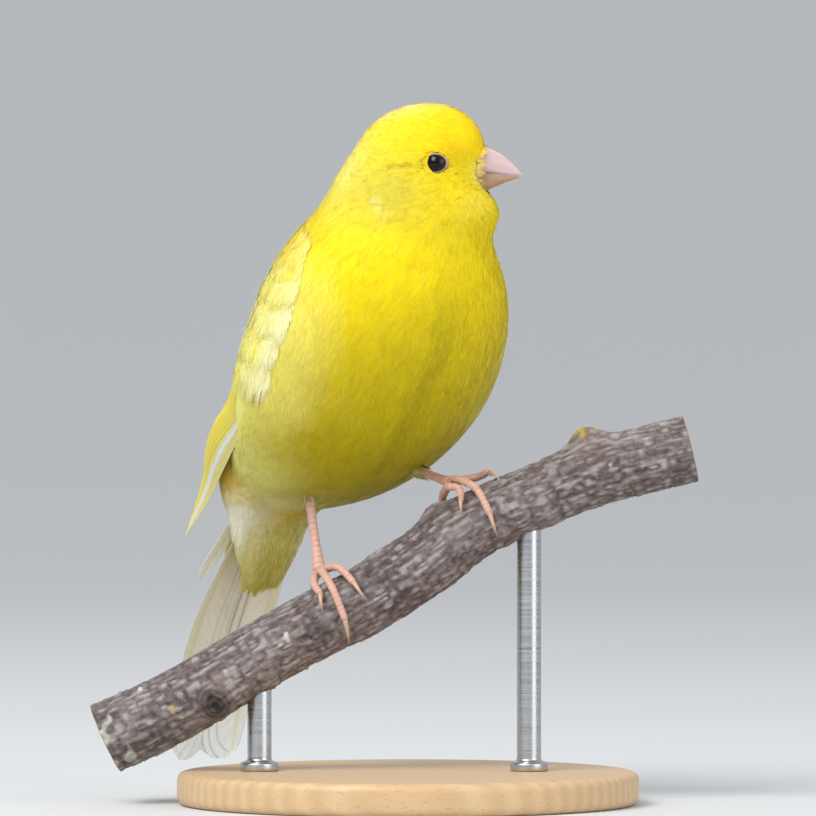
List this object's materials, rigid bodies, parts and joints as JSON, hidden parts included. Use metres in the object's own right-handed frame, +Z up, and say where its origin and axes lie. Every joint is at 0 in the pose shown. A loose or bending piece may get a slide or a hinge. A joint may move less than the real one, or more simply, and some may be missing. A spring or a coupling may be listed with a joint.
{
  "type": "canary figure on perch and stand",
  "caption": "Life-size still model of a yellow canary gripping a cut length of branch, held by rods on a flat round display base.",
  "frame": {"origin": "centre of the round display base's underside, on the floor", "axes": "+Z up; the perch rises toward +X; the bird faces +X with its breast turned toward -Y"},
  "size_m": [0.1106, 0.0955, 0.127],
  "materials": {
    "plumage": "soft lemon-yellow contour feathers, lying flat in overlapping tufts",
    "flight_feathers": "pale yellow-white vanes with a fine barb line and a low silky gloss",
    "bill_horn": "pale pink horn with a low satin gloss",
    "eye": "near-black wet gloss",
    "leg_skin": "pink scaled skin with fine cross scutes",
    "claw_horn": "thin pale horn, slightly see-through at the tip",
    "bark": "rough grey-brown bark with lichen flecks and cut-twig scars",
    "base_wood": "turned pale hardwood with a satin clear coat",
    "rod_steel": "brushed steel rod"
  },
  "bodies": {
    "root": {"head": "plumage", "neck": "plumage", "trunk": "plumage", "rump": "plumage", "uppertail_coverts": "plumage", "undertail_coverts": "plumage", "wing_left_coverts": "plumage", "wing_left_secondaries": "plumage", "wing_left_primaries": "flight_feathers", "tail_left": "flight_feathers", "eye_left": "eye", "tarsus_left": "leg_skin", "toe_left_1": "leg_skin", "claw_left_1": "claw_horn", "toe_left_2": "leg_skin", "claw_left_2": "claw_horn", "toe_left_3": "leg_skin", "claw_left_3": "claw_horn", "toe_left_4": "leg_skin", "claw_left_4": "claw_horn", "wing_right_coverts": "plumage", "wing_right_secondaries": "plumage", "wing_right_primaries": "flight_feathers", "tail_right": "flight_feathers", "eye_right": "eye", "tarsus_right": "leg_skin", "toe_right_1": "leg_skin", "claw_right_1": "claw_horn", "toe_right_2": "leg_skin", "claw_right_2": "claw_horn", "toe_right_3": "leg_skin", "claw_right_3": "claw_horn", "toe_right_4": "leg_skin", "claw_right_4": "claw_horn", "bill_upper": "bill_horn", "bill_lower": "bill_horn", "perch": "bark", "stand_base": "base_wood", "stand_rod_1": "rod_steel", "stand_rod_2": "rod_steel"}
  },
  "joints": []
}
